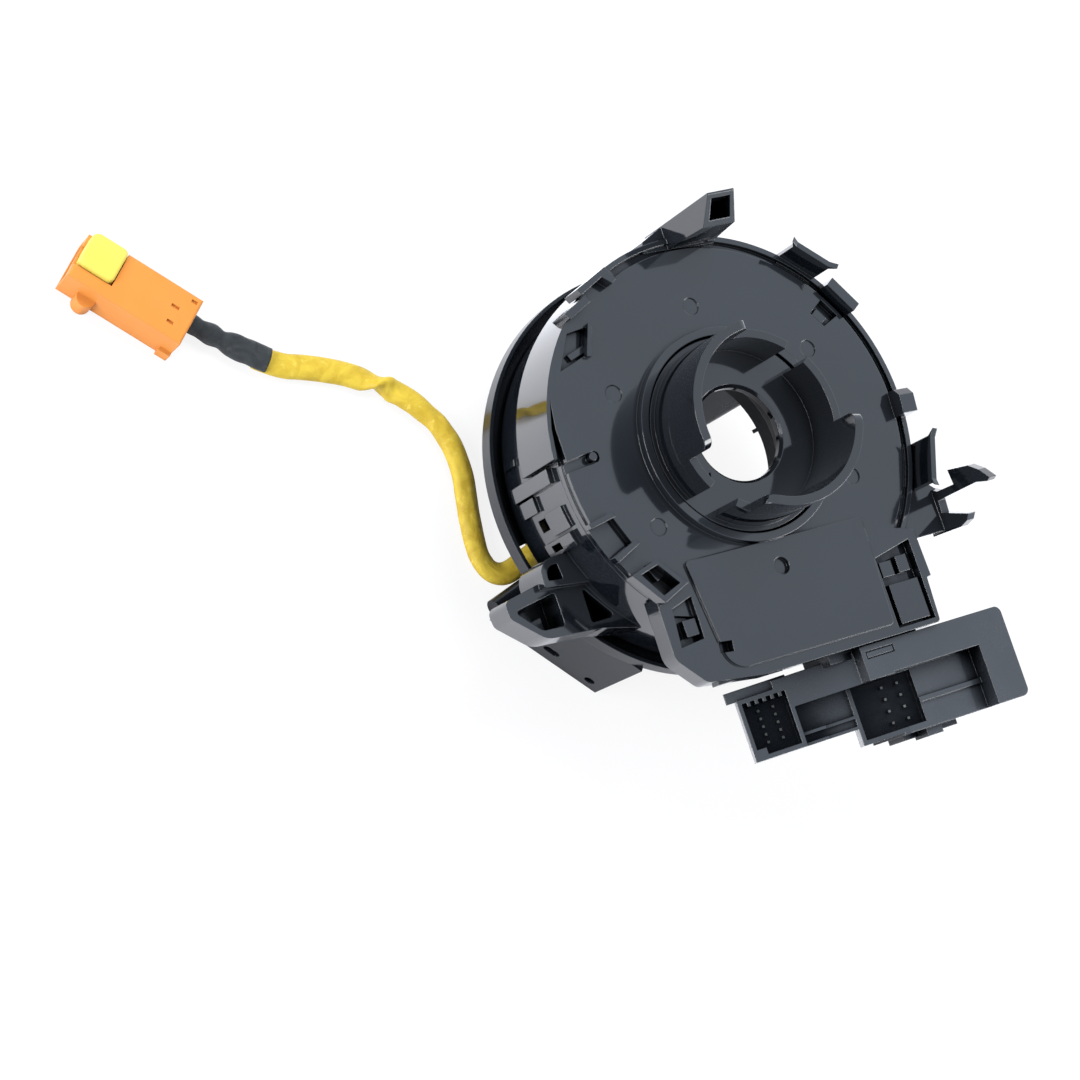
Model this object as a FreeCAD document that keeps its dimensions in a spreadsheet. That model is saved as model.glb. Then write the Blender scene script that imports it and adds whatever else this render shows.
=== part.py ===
import FreeCAD, Part
import math
import os
import Sketcher
from FreeCAD import Placement, Rotation, Vector

doc = FreeCAD.newDocument("steering_clock_spring")
sheet = doc.addObject("Spreadsheet::Sheet", "Sizes")

# Heights are above the rear edge of the rotor disc's rim; the finished part is lowered by rear_level,
# so that the origin ends on the rotor axis in the plane of the stator's rear face.
TABLE = (
    ("rear_level", 30.0), ("floor_level", -31.0),
    # stator plate
    ("plate_radius", 50.6), ("plate_thick", 2.0), ("groove_radius", 52.7), ("groove_drop", 3.5),
    ("lip_radius", 54.1), ("lip_drop", 0.5), ("rim_radius", 53.5), ("rim_inner", 51.3), ("rim_foot", 20.0),
    ("apron_foot", 12.5), ("collar_hole", 26.3), ("collar_radius", 28.4), ("collar_rise", 2.5),
    ("skirt_wall", 1.8), ("skirt_depth", 6.0), ("panel_rise", 0.8), ("mark_radius", 2.3),
    ("mark_circle", 35.3), ("mark_depth", 0.4), ("well_drop", 2.8),
    # stator clips
    ("tongue_rise", 9.5), ("tongue_thick", 1.5), ("hook_rise", 23.0), ("tab_rise", 3.5), ("post_rise", 21.6),
    ("post_wall", 1.3),
    # drum
    ("drum_radius", 51.0), ("drum_wall", 1.8), ("drum_foot", -1.4), ("ear_top", 11.0), ("ear_foot", 1.2),
    ("ear_wall", 1.7),
    # rotor disc and hub
    ("disc_radius", 55.0), ("rim_wall", 1.0), ("disc_foot", -4.5), ("disc_thick", 1.8), ("step_radius", 48.2),
    ("hub_radius", 26.2), ("hub_inner", 24.45), ("hub_top", 26.5), ("web_foot", 5.5),
    # rotor sleeve with the cancelling cam
    ("bore_radius", 12.36), ("sleeve_radius", 24.4), ("sleeve_wall", 2.3), ("sleeve_floor", 2.5),
    ("sleeve_top", 32.0), ("sleeve_foot", 14.0), ("cam_height", 20.0), ("flange_radius", 26.22),
    ("low_wall", 10.5),
    # flat cable chamber
    ("sheet_thick", 0.3), ("sheet_inner", 27.0), ("sheet_outer", 48.4), ("coil_foot", 9.3),
    ("coil_height", 16.6), ("ribbon_thick", 0.5),
    ("inner_coil", 26.5), ("inner_coil_wall", 4.3), ("outer_coil", 48.9), ("outer_coil_wall", 5.2),
    ("carrier_inner", 31.4), ("carrier_outer", 43.0), ("carrier_thick", 1.0), ("roller_circle", 37.2),
    ("roller_radius", 3.9), ("roller_bore", 1.55), ("axle_radius", 1.5), ("roller_height", 15.4),
    # rotor front
    ("box_reach", 53.1), ("box_left", -17.5), ("box_right", 17.7), ("box_wall", 1.6), ("box_depth", 13.0),
    ("guide_radius", 2.8),
    ("post_radius", 3.5), ("post_circle", 36.0), ("shroud_length", 26.0), ("shroud_width", 13.0),
    ("shroud_wall", 1.2), ("shroud_floor", 17.0), ("pin_width", 0.64),
    # connector block
    ("block_left", 16.3), ("block_right", 63.3), ("block_top", -60.7), ("block_bottom", -85.4),
    ("block_rear", 28.0), ("block_front", 7.0), ("recess_drop", 5.0), ("recess_left", 27.3),
    ("recess_right", 52.8), ("lean", 30.0), ("pin_reach", 4.0),
    # airbag lead
    ("lead_diameter", 5.2), ("sleeve_diameter", 6.6), ("plug_length", 33.0),
    ("plug_width", 14.0), ("plug_height", 11.0), ("plug_wall", 1.2), ("lock_gap", 0.1),
)
for row, (alias, number) in enumerate(TABLE, 1):
    sheet.set("A%d" % row, alias)
    sheet.set("B%d" % row, str(number))
    sheet.setAlias("B%d" % row, alias)
doc.recompute()


class Dim:
    """A sheet size, or a sum of them, held as its value and as the expression that gives it."""

    def __init__(self, value, text):
        self.value, self.text = float(value), text

    def join(self, other, sign, value, swap=False):
        text = other.text if isinstance(other, Dim) else repr(float(other))
        first, second = (text, self.text) if swap else (self.text, text)
        return Dim(value, "(%s %s %s)" % (first, sign, second))

    def __float__(self):
        return self.value

    def __add__(self, other):
        return self.join(other, "+", self.value + float(other))

    def __radd__(self, other):
        return self.join(other, "+", float(other) + self.value, True)

    def __sub__(self, other):
        return self.join(other, "-", self.value - float(other))

    def __rsub__(self, other):
        return self.join(other, "-", float(other) - self.value, True)

    def __mul__(self, other):
        return self.join(other, "*", self.value * float(other))

    def __rmul__(self, other):
        return self.join(other, "*", float(other) * self.value, True)

    def __truediv__(self, other):
        return self.join(other, "/", self.value / float(other))

    def __neg__(self):
        return Dim(-self.value, "(0 - %s)" % self.text)


class Sheet:
    """Each alias of the sheet as a Dim."""

    def __getattr__(self, alias):
        return Dim(float(sheet.get(alias)), "Sizes." + alias)


S = Sheet()
FLAT = Placement()


def bind(thing, prop, size):
    """Set a property to a number, or tie it to the sheet."""
    if isinstance(size, Dim):
        thing.setExpression(prop, size.text)
    else:
        setattr(thing, prop, size)


def frame(origin, across, up):
    """A sketch frame from its origin and the directions of its two axes."""
    across, up = Vector(*across), Vector(*up)
    return Placement(Vector(*origin), Rotation(across, up, across.cross(up), "XYZ"))


def polar(radius, degrees, z=0.0):
    a = math.radians(degrees)
    return Vector(float(radius) * math.cos(a), float(radius) * math.sin(a), float(z))


def radial_frame(degrees, radius, z=0.0):
    """Sketch plane whose x runs round the axis, y runs up and whose normal points outwards."""
    a = math.radians(degrees)
    return frame(polar(radius, degrees, z), (-math.sin(a), math.cos(a), 0), (0, 0, 1))


def new_body(name):
    body = doc.addObject("PartDesign::Body", name)
    body.Label = name
    return body


def new_sketch(body, name, level=None, place=FLAT):
    sketch = body.newObject("Sketcher::SketchObject", body.Name + "_" + name + "_outline")
    plane = next(f for f in body.Origin.OriginFeatures if f.Role == "XY_Plane")
    sketch.AttachmentSupport = [(plane, "")]
    sketch.MapMode = "FlatFace"
    sketch.AttachmentOffset = place
    if level is not None:
        if isinstance(level, Dim):
            sketch.setExpression("AttachmentOffset.Base.z", level.text)
        else:
            sketch.AttachmentOffset = Placement(Vector(place.Base.x, place.Base.y, level), place.Rotation)
    return sketch


def hold(sketch, kind, *refs):
    """Add a dimension; a Dim as its last argument ties it to the sheet."""
    size = refs[-1]
    index = sketch.addConstraint(Sketcher.Constraint(kind, *refs[:-1], float(size)))
    if isinstance(size, Dim):
        sketch.renameConstraint(index, "size_%d" % index)
        sketch.setExpression("Constraints.size_%d" % index, size.text)


def draw_circle(sketch, radius, centre=(0.0, 0.0)):
    x, y = centre
    item = sketch.addGeometry(Part.Circle(Vector(float(x), float(y), 0), Vector(0, 0, 1), float(radius)))
    hold(sketch, "Radius", item, radius)
    for size, kind, axis in ((x, "DistanceX", -2), (y, "DistanceY", -1)):
        if abs(float(size)) < 1e-6:
            sketch.addConstraint(Sketcher.Constraint("PointOnObject", item, 3, axis))
        else:
            hold(sketch, kind, -1, 1, item, 3, size)


def draw_polygon(sketch, points):
    """A closed outline through points whose coordinates are numbers or Dims."""
    corners = [Vector(float(x), float(y), 0) for x, y in points]
    count = len(corners)
    first = sketch.GeometryCount
    sketch.addGeometry([Part.LineSegment(corners[i], corners[(i + 1) % count]) for i in range(count)])
    for i in range(count):
        sketch.addConstraint(Sketcher.Constraint("Coincident", first + i, 2, first + (i + 1) % count, 1))
    for i, (x, y) in enumerate(points):
        hold(sketch, "DistanceX", -1, 1, first + i, 1, x)
        hold(sketch, "DistanceY", -1, 1, first + i, 1, y)


def draw_rounded(sketch, points):
    """A closed outline whose corners (x, y, radius) are rounded by real arcs."""
    count = len(points)
    ends = []
    for i, (x, y, radius) in enumerate(points):
        here = Vector(float(x), float(y), 0)
        before = Vector(float(points[i - 1][0]), float(points[i - 1][1]), 0)
        after = Vector(float(points[(i + 1) % count][0]), float(points[(i + 1) % count][1]), 0)
        a, b = (before - here).normalize(), (after - here).normalize()
        radius = float(radius)
        if radius <= 0:
            ends.append((here, None, here))
            continue
        half = a.getAngle(b) / 2
        reach = radius / math.tan(half)
        centre = here + (a + b).normalize() * (radius / math.sin(half))
        middle = centre + (here - centre).normalize() * radius
        ends.append((here + a * reach, middle, here + b * reach))
    items = []
    for i in range(count):
        start, middle, stop = ends[i]
        if middle is not None:
            items.append(Part.Arc(start, middle, stop))
        following = ends[(i + 1) % count][0]
        if (following - stop).Length > 1e-6:
            items.append(Part.LineSegment(stop, following))
    sketch.addGeometry(items)


def draw_sector(sketch, inner, outer, start, stop):
    """A piece of a ring between two angles in degrees."""
    a0, a1 = math.radians(start), math.radians(stop)
    axis = Vector(0, 0, 1)
    arcs = [sketch.addGeometry(Part.ArcOfCircle(Part.Circle(Vector(), axis, float(r)), a0, a1))
            for r in (inner, outer)]
    sides = [sketch.addGeometry(Part.LineSegment(polar(inner, a), polar(outer, a))) for a in (start, stop)]
    for arc, radius in zip(arcs, (inner, outer)):
        sketch.addConstraint(Sketcher.Constraint("Coincident", arc, 3, -1, 1))
        hold(sketch, "Radius", arc, radius)
    for side, end in zip(sides, (1, 2)):
        for arc, tip in zip(arcs, (1, 2)):
            sketch.addConstraint(Sketcher.Constraint("Coincident", arc, end, side, tip))
        sketch.addConstraint(Sketcher.Constraint("PointOnObject", -1, 1, side))
    for side, angle in zip(sides, (a0, a1)):
        sketch.addConstraint(Sketcher.Constraint("Angle", -1, 1, side, 1, angle))


def pad(body, name, level, depth, draw, *args, cut=False, place=FLAT):
    """Raise or cut an outline from its plane by a depth along the plane's normal."""
    sketch = new_sketch(body, name, level, place)
    draw(sketch, *args)
    sketch.Visibility = False
    kind = "PartDesign::Pocket" if cut else "PartDesign::Pad"
    feature = body.newObject(kind, body.Name + "_" + name)
    feature.Profile = sketch
    bind(feature, "Length", depth)
    if cut:
        feature.Reversed = True
    body.Tip = feature
    return feature


def ring(body, name, outer, inner, level, depth, cut=False):
    def both(sketch):
        draw_circle(sketch, outer)
        if inner is not None:
            draw_circle(sketch, inner)
    return pad(body, name, level, depth, both, cut=cut)


def around(body, features, name, count, sweep=360.0):
    """Repeat features round the axis."""
    pattern = body.newObject("PartDesign::PolarPattern", body.Name + "_" + name)
    pattern.Originals = features
    pattern.Axis = (next(f for f in body.Origin.OriginFeatures if f.Role == "Z_Axis"), [""])
    pattern.Angle = sweep
    pattern.Occurrences = count
    body.Tip = pattern
    return pattern


def soften(body, name, radius, chosen):
    """Round the edges of the body's tip that a test picks."""
    doc.recompute()
    base = body.Tip
    edges = ["Edge%d" % i for i, edge in enumerate(base.Shape.Edges, 1) if chosen(edge)]
    fillet = body.newObject("PartDesign::Fillet", body.Name + "_" + name)
    fillet.Base = (base, edges)
    bind(fillet, "Radius", radius)
    body.Tip = fillet
    return fillet


def block(x0, x1, y0, y1):
    return ((x0, y0), (x1, y0), (x1, y1), (x0, y1))


parts = []

# Rotor
disc = new_body("rotor_disc")
parts.append(disc)
web_top = S.web_foot + S.disc_thick
flange_top = S.disc_foot + S.disc_thick
profile = (
    (S.hub_inner, S.web_foot), (S.step_radius - S.disc_thick, S.web_foot),
    (S.step_radius - S.disc_thick, S.disc_foot),
    (S.disc_radius, S.disc_foot), (S.disc_radius, Dim(0.0, "0")), (S.disc_radius - S.rim_wall, Dim(0.0, "0")),
    (S.disc_radius - S.rim_wall, flange_top), (S.step_radius, flange_top), (S.step_radius, web_top),
    (S.hub_radius, web_top), (S.hub_radius, S.hub_top), (S.hub_inner, S.hub_top),
)


def revolve(body, name, points):
    """Turn a closed half-section about the rotor axis."""
    sketch = new_sketch(body, name, None, frame((0, 0, 0), (1, 0, 0), (0, 0, 1)))
    draw_polygon(sketch, points)
    sketch.Visibility = False
    turned = body.newObject("PartDesign::Revolution", body.Name + "_" + name)
    turned.Profile = sketch
    turned.ReferenceAxis = (sketch, ["V_Axis"])
    turned.Angle = 360.0
    body.Tip = turned
    return turned


revolve(disc, "turned", profile)
# drive posts that carry the wheel's turning into the disc, and stiffening ribs under the web
front_reach = S.web_foot - S.floor_level
for tag, angle in (("right", -38.0), ("top", 128.0)):
    spot = polar(S.post_circle, angle)
    pad(disc, "post_" + tag, S.floor_level, front_reach, draw_circle, S.post_radius, (spot.x, spot.y))
rib = pad(disc, "rib", S.disc_foot + 1.0, S.web_foot - S.disc_foot - 1.0, draw_sector,
          S.hub_radius + 3.0, S.step_radius - S.disc_thick + 0.5, 89.0, 91.0)
around(disc, [rib], "ribs", 8, 280.0)
hole = pad(disc, "latch", flange_top - 3.0, 6.0, draw_sector, S.step_radius + 1.0, S.drum_radius + 1.6, 70.0,
    78.0, cut=True)
around(disc, [hole], "latches", 3)

sleeve = new_body("rotor_sleeve")
parts.append(sleeve)
inner_wall = S.sleeve_radius - S.sleeve_wall
floor_foot = S.sleeve_top - S.sleeve_floor
revolve(sleeve, "turned", (
    (S.bore_radius, floor_foot), (inner_wall, floor_foot), (inner_wall, S.sleeve_foot),
    (S.sleeve_radius, S.sleeve_foot), (S.sleeve_radius, S.hub_top), (S.flange_radius, S.hub_top),
    (S.flange_radius, S.sleeve_top - 0.6), (S.flange_radius - 0.6, S.sleeve_top),
    (S.bore_radius + 0.8, S.sleeve_top), (S.bore_radius, S.sleeve_top - 0.8),
))
for tag, start, stop in (("left", 90.0, 192.0), ("right", 241.0, 348.0)):
    pad(sleeve, "lobe_" + tag, S.sleeve_top - 1.0, S.cam_height + 1.0, draw_sector, inner_wall,
        S.sleeve_radius, start, stop)
# the wall goes on between the lobes at half their height, with a notch on either side
for tag, start, stop in (("a", 347.0, 393.0), ("b", 408.5, 451.0), ("c", 191.0, 212.5), ("d", 231.5, 242.0)):
    pad(sleeve, "wall_" + tag, S.sleeve_top - 0.9, S.low_wall + 0.9, draw_sector, inner_wall + 0.05,
        S.sleeve_radius - 0.05, start, stop)
pad(sleeve, "slit", S.sleeve_top - 1.0, 2.0, draw_polygon,
    ((-12.6, -8.0), (-12.1, -7.9), (-12.9, -10.6), (-13.4, -10.7)), cut=True)
soften(sleeve, "corners", 3.0, lambda e: isinstance(e.Curve, Part.Line) and e.BoundBox.ZLength < 1e-3
       and abs(e.BoundBox.ZMin - float(S.sleeve_top + S.cam_height)) < 1e-3)
window = pad(sleeve, "snap", S.sleeve_foot + 3.0, 4.0, draw_sector, inner_wall - 1.0, S.sleeve_radius + 1.0,
             20.0, 30.0, cut=True)
around(sleeve, [window], "snaps", 4)

# Stator: drum
drum = new_body("drum_case")
parts.append(drum)
drum_top = S.rear_level - S.groove_drop - 0.1
drum_inner = S.drum_radius - S.drum_wall
ring(drum, "wall", S.drum_radius, drum_inner, S.drum_foot, drum_top - S.drum_foot)
ear_depth = S.ear_top - S.ear_foot
ear = ((-40.0, -31.0, 0), (-45.0, -22.0, 0), (-58.0, -21.4, 1.5), (-68.6, -23.6, 2.0), (-68.2, -28.0, 2.5),
       (-60.0, -35.3, 6.0), (-44.0, -36.3, 1.5), (-33.0, -38.8, 0))
pad(drum, "ear", S.ear_foot, ear_depth, draw_rounded, ear)
pad(drum, "ear_hollow", S.ear_foot + S.ear_wall, ear_depth, draw_rounded,
    ((-66.6, -26.6, 0.8), (-54.0, -24.4, 0.8), (-54.0, -33.2, 0.8), (-60.4, -33.0, 2.5)), cut=True)
pad(drum, "ear_pocket", S.ear_foot + S.ear_wall, ear_depth, draw_rounded,
    ((-46.2, -24.6, 0.5), (-44.6, -27.0, 0), (-39.2, -34.2, 0.8), (-46.4, -34.4, 0.8)), cut=True)
pad(drum, "ear_latch", S.ear_foot + S.ear_wall - 0.5, 3.4, draw_polygon,
    ((-63.0, -30.0), (-57.2, -29.0), (-57.2, -33.6), (-61.0, -33.4)))
# quarter-round cup above the ear
pad(drum, "cup", S.ear_foot, ear_depth + 3.0, draw_rounded,
    ((-47.5, -15.5, 0), (-57.5, -16.2, 4.5), (-57.8, -23.0, 0.5), (-45.0, -24.4, 0)))
pad(drum, "cup_hollow", S.ear_foot + 4.0, ear_depth + 3.0, draw_rounded,
    ((-52.4, -17.8, 0.5), (-55.8, -18.0, 2.6), (-56.2, -21.6, 0.5), (-52.0, -22.0, 0.5)), cut=True)
# latch tongues, pads and windows on the outside of the wall
for tag, start, stop, foot, rise, proud in (
        ("pad_a", 175.2, 179.4, 3.0, 20.5, 1.6), ("pad_b", 180.0, 184.5, 4.0, 8.0, 1.1),
        ("tongue", 193.5, 197.5, 8.0, 14.0, 1.3), ("bar", 167.0, 169.0, 0.5, 6.0, 0.7),
        ("step", 186.0, 192.5, 14.0, 9.0, 0.9)):
    pad(drum, tag, float(foot), float(rise), draw_sector, S.drum_radius - 0.6, S.drum_radius + proud, start,
        stop)
for tag, start, stop, foot, rise in (
        ("window_a", 186.6, 190.2, 8.6, 3.8), ("window_b", 194.6, 196.6, 11.0, 4.5),
        ("slot_a", 179.5, 179.9, 2.0, 9.0)):
    pad(drum, tag, float(foot), float(rise), draw_sector, drum_inner - 0.5, S.drum_radius + 3.0, start, stop,
        cut=True)
# cable exit to the terminal block
pad(drum, "exit", S.coil_foot, S.coil_height + 3.0, draw_sector, drum_inner - 0.5, S.drum_radius + 1.0,
    262.0, 278.0, cut=True)

# Stator: rear plate
plate = new_body("stator_plate")
parts.append(plate)
plate_foot = S.rear_level - S.plate_thick
groove_floor = S.rear_level - S.groove_drop
lip_top = S.rear_level - S.lip_drop
ring(plate, "groove_floor", S.lip_radius, S.plate_radius - 2.0, groove_floor, plate_foot - groove_floor + 0.2)
ring(plate, "lip", S.lip_radius, S.groove_radius, groove_floor, lip_top - groove_floor)
ring(plate, "rim", S.rim_radius, S.rim_inner, S.rim_foot, groove_floor - S.rim_foot + 0.5)
# on the left the plate reaches the rim without a groove, and an apron hangs down over the drum
pad(plate, "lip_gap", groove_floor - 1.0, S.groove_drop + 3.0, draw_sector, S.rim_radius, S.lip_radius + 3.0,
    112.0, 176.0, cut=True)
pad(plate, "edge", groove_floor, S.groove_drop, draw_sector, S.plate_radius - 1.0, S.rim_radius, 112.0, 174.5)
pad(plate, "apron", S.apron_foot, S.rim_foot - S.apron_foot + 1.0, draw_sector, S.rim_inner, S.rim_radius,
    112.0, 174.5)
# below the apron the rim stands back, where the plate's own edge shows
pad(plate, "rim_gap", S.apron_foot - 1.0, S.rear_level - S.apron_foot + 3.0, draw_sector,
    S.plate_radius + 0.4, S.lip_radius + 3.0, 174.5, 228.0, cut=True)
skirt = ((-30.0, -38.0, 0), (-38.2, -34.5, 0), (-38.4, -50.5, 5.0), (-31.5, -58.2, 3.0), (-13.5, -60.4, 8.0),
         (42.0, -60.4, 1.0), (42.6, -48.4, 0.3), (44.0, -48.2, 0.3), (43.6, -35.4, 0.5), (36.0, -33.0, 0))
pad(plate, "skirt", S.rear_level - S.skirt_depth, S.skirt_depth, draw_rounded, skirt)
wall = float(S.skirt_wall)
hollow = ((-28.0, -36.0, 0), (-38.2 + wall, -36.0, 0), (-38.4 + wall, -50.5, 3.4), (-31.3, -58.2 + wall, 1.5),
          (-13.5, -60.4 + wall, 1.0), (42.0 - wall, -60.4 + wall, 0.5), (42.4 - wall, -36.0, 0))
pad(plate, "skirt_hollow", S.rear_level - S.skirt_depth - 1.0, S.skirt_depth - S.plate_thick + 1.0,
    draw_rounded, hollow, cut=True)
# floors under the windows beside the panel
for tag, points in (("well_floor", block(27.8, 42.2, -59.4, -37.0)),
        ("low_floor", block(-37.4, -26.0, -50.0, -38.0)),
                    ("square_floor", block(-27.0, -19.6, -59.4, -47.6))):
    pad(plate, tag, S.rear_level - S.skirt_depth, S.skirt_depth - S.well_drop, draw_polygon, points)
pad(plate, "drum_space", S.rear_level - S.skirt_depth - 1.0,
    groove_floor - S.rear_level + S.skirt_depth + 1.0, draw_circle, S.rim_inner, cut=True)
pad(plate, "chamber", groove_floor - 0.1, plate_foot - groove_floor + 0.1, draw_circle, S.plate_radius - 2.0,
    cut=True)
ring(plate, "disc", S.plate_radius, None, plate_foot, S.plate_thick)
pad(plate, "panel", S.rear_level - 0.5, S.panel_rise + 0.5, draw_rounded,
    ((-27.2, -27.8, 1.0), (28.4, -28.6, 1.0), (27.2, -57.6, 1.0), (-24.0, -57.2, 6.0)))
ring(plate, "collar", S.collar_radius, None, plate_foot, S.plate_thick + S.collar_rise)
ring(plate, "collar_hole", S.collar_hole, None, plate_foot - 1.0, S.plate_thick + S.collar_rise + 4.0,
    cut=True)
mark = pad(plate, "mark", S.rear_level - S.mark_depth, S.panel_rise + 1.0, draw_circle, S.mark_radius,
           (0.0, S.mark_circle), cut=True)
around(plate, [mark], "marks", 6)

# windows through the plate
for tag, points in (
        ("window_top_left", ((-38.0, 35.2), (-32.0, 35.8), (-35.0, 28.8), (-43.2, 26.2))),
        ("window_left", ((-51.6, -13.8), (-42.4, -12.6), (-39.4, -20.0), (-47.6, -22.8))),
        ("window_low", ((-34.6, -38.3), (-28.2, -36.4), (-28.4, -47.4), (-35.6, -48.2))),
        ("square_hole", ((-25.0, -49.4), (-21.4, -49.8), (-21.8, -52.6), (-25.3, -52.2)))):
    pad(plate, tag, plate_foot + 0.2, S.plate_thick + 1.0, draw_polygon, points, cut=True)
pad(plate, "window_deep", S.rear_level - S.well_drop, S.well_drop + 1.0, draw_polygon,
    ((-34.6, -39.6), (-28.2, -41.4), (-28.4, -47.4), (-35.6, -48.2)), cut=True)
# ladder: a well beside the panel with two steps and a long pad in it
pad(plate, "well", S.rear_level - S.well_drop, S.well_drop + 1.0, draw_polygon,
    ((28.8, -40.0), (41.0, -37.4), (41.0, -59.0), (28.8, -59.0)), cut=True)
for tag, points in (
        ("step_a", block(29.8, 33.6, -45.4, -41.4)), ("step_b", block(35.3, 38.8, -45.2, -40.8)),
        ("side_pad", block(30.6, 40.0, -58.2, -47.6)), ("low_pad", block(-32.6, -28.9, -46.0, -41.8))):
    pad(plate, tag, S.rear_level - S.well_drop - 0.5, S.well_drop - 0.1, draw_polygon, points)
pad(plate, "key_slot", S.rear_level - 1.3, 4.0, draw_rounded,
    ((-54.0, 0.6, 0), (-40.6, 2.0, 1.2), (-40.4, 5.0, 1.2), (-54.0, 3.2, 0)), cut=True)
pad(plate, "key_pin", S.rear_level - 1.5, 2.4, draw_circle, 1.1, (-42.6, 3.4))

# raised frames and ribs on the plate
pad(plate, "frame", S.rear_level - 0.5, 3.6, draw_polygon,
    ((-44.4, -28.0), (-36.0, -25.6), (-29.4, -33.2), (-37.6, -36.6)))
pad(plate, "frame_mouth", plate_foot - 3.0, 9.0, draw_polygon,
    ((-41.8, -28.4), (-36.4, -27.0), (-31.8, -32.8), (-37.4, -34.8)), cut=True)
pad(plate, "frame_catch", plate_foot, 2.2, draw_polygon,
    ((-38.4, -26.0), (-35.9, -26.4), (-33.4, -29.6), (-36.2, -30.6)))
for tag, points, rise in (
        ("rib_left_a", ((-51.0, -12.9), (-43.4, -11.2), (-43.0, -12.7), (-50.6, -14.2)), 2.4),
        ("rib_left_b", ((-47.0, -22.4), (-39.6, -19.4), (-39.0, -20.7), (-46.2, -23.9)), 2.4),
        ("rib_window", ((-32.0, 36.4), (-30.9, 36.2), (-34.0, 27.9), (-35.3, 28.3)), 1.4)):
    pad(plate, tag, S.rear_level - 0.5, rise + 0.5, draw_polygon, points)
pad(plate, "window_catch", plate_foot, 1.3, draw_polygon,
    ((-39.5, 30.0), (-34.0, 31.6), (-34.2, 29.8), (-38.8, 28.4)))
# tabs on the rim at the upper left, and the wedge where the plate's edge starts to stand back
for tag, points in (
        ("tab_a", ((-38.9, 39.5), (-31.4, 43.1), (-30.3, 41.3), (-37.6, 37.8))),
        ("tab_b", ((-33.2, 44.9), (-23.4, 49.1), (-20.9, 45.7), (-22.5, 44.6), (-25.0, 46.8),
        (-32.3, 43.3)))):
    pad(plate, tag, groove_floor, S.groove_drop + S.tab_rise, draw_polygon, points)
pad(plate, "wedge", groove_floor + 0.6, 4.0, draw_polygon,
    [polar(r, a)[:2] for r, a in ((52.6, 158.0), (52.5, 166.0), (52.4, 176.0), (50.0, 176.0), (51.4, 166.0))],
    cut=True)


def clip_shelf(tag, start, stop, reach, foot=6.0):
    """Ledge that carries a clip out from the rim."""
    pad(plate, tag, S.rear_level - foot, S.rear_level - S.lip_drop - 1.0 - S.rear_level + foot, draw_sector,
        S.rim_inner + 1.0, reach, start, stop)


# broad tongues with barbed ends
for tag, start, stop, reach in (("tongue_upper", 41.6, 53.6, 55.2), ("tongue_lower", -27.2, -14.2, 56.0)):
    clip_shelf(tag + "_shelf", start, stop, reach)
    middle = (start + stop) / 2
    half = math.radians(stop - start) / 2 * (reach - 0.7)
    rise = S.tongue_rise + 4.0
    top = S.tongue_rise + 2.0
    pad(plate, tag, None, S.tongue_thick, draw_polygon, (
        (-half, Dim(0.0, "0")), (half, Dim(0.0, "0")), (half, top - 1.0), (half + 1.5, top + 1.2),
        (half - 0.6, top), (-half + 0.6, top), (-half - 1.5, top + 1.2), (-half, top - 1.0)),
        place=radial_frame(middle, reach - float(S.tongue_thick), S.rear_level - 4.0))

# snap bar with its window on the upper right, and stop tab on the right
clip_shelf("bar_shelf", 27.4, 38.6, 54.8, 9.0)
pad(plate, "bar", None, 2.8, draw_polygon, ((-5.0, 0.0), (5.0, 0.0), (5.0, 7.6), (-5.0, 7.6)),
    place=radial_frame(33.0, 51.8, S.rear_level - 4.0))
pad(plate, "bar_window", plate_foot + 0.2, S.plate_thick + 1.0, draw_polygon,
    [polar(r, a)[:2] for r, a in ((44.2, 37.2), (49.6, 36.6), (49.6, 29.6), (44.2, 30.6))], cut=True)
pad(plate, "bar_catch", plate_foot, 1.6, draw_polygon,
    [polar(r, a)[:2] for r, a in ((43.6, 36.4), (46.8, 36.2), (46.8, 31.6), (43.6, 31.6))])
clip_shelf("stop_shelf", -6.4, 1.4, 55.0, 9.0)
pad(plate, "stop", None, 4.6, draw_polygon, ((-3.6, 0.0), (3.6, 0.0), (3.4, 6.8), (1.4, 8.6), (-3.4, 8.2)),
    place=radial_frame(-2.6, 50.2, S.rear_level - 4.0))

# two-pronged snap claw on the right
pad(plate, "claw_shelf", S.rear_level - 7.0, 5.4, draw_polygon,
    ((43.0, -26.5), (54.0, -24.6), (56.8, -27.2), (56.8, -37.8), (42.0, -37.8)))
claw_foot = S.rear_level - 7.0
head = S.hook_rise + 7.0
pad(plate, "claw", None, 2.4, draw_polygon, (
    (-38.2, Dim(0.0, "0")), (-26.4, Dim(0.0, "0")), (-25.9, 4.0), (-27.6, 7.7), (-27.7, head - 14.8),
    (-23.6, head - 15.3), (-24.8, head - 6.9), (-27.0, head - 3.2), (-30.1, head), (-30.7, head - 1.4),
    (-29.7, head - 5.8), (-29.9, 7.0), (-33.3, 6.7), (-36.3, head - 13.0), (-37.8, head - 14.5),
    (-38.7, head - 17.8)), place=frame((54.4, 0, float(claw_foot)), (0, 1, 0), (0, 0, 1)))

# tapered hollow post at the top
post_foot = S.rear_level - 9.0
post_top = S.rear_level + S.post_rise


def loft(name, kind, lower, upper, low, high):
    """Join two rectangles at different heights."""
    first = new_sketch(plate, name + "_low", low)
    draw_polygon(first, block(*lower))
    second = new_sketch(plate, name + "_high", high)
    draw_polygon(second, block(*upper))
    first.Visibility = second.Visibility = False
    feature = plate.newObject(kind, plate.Name + "_" + name)
    feature.Profile = first
    feature.Sections = [second]
    plate.Tip = feature
    return feature


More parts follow.
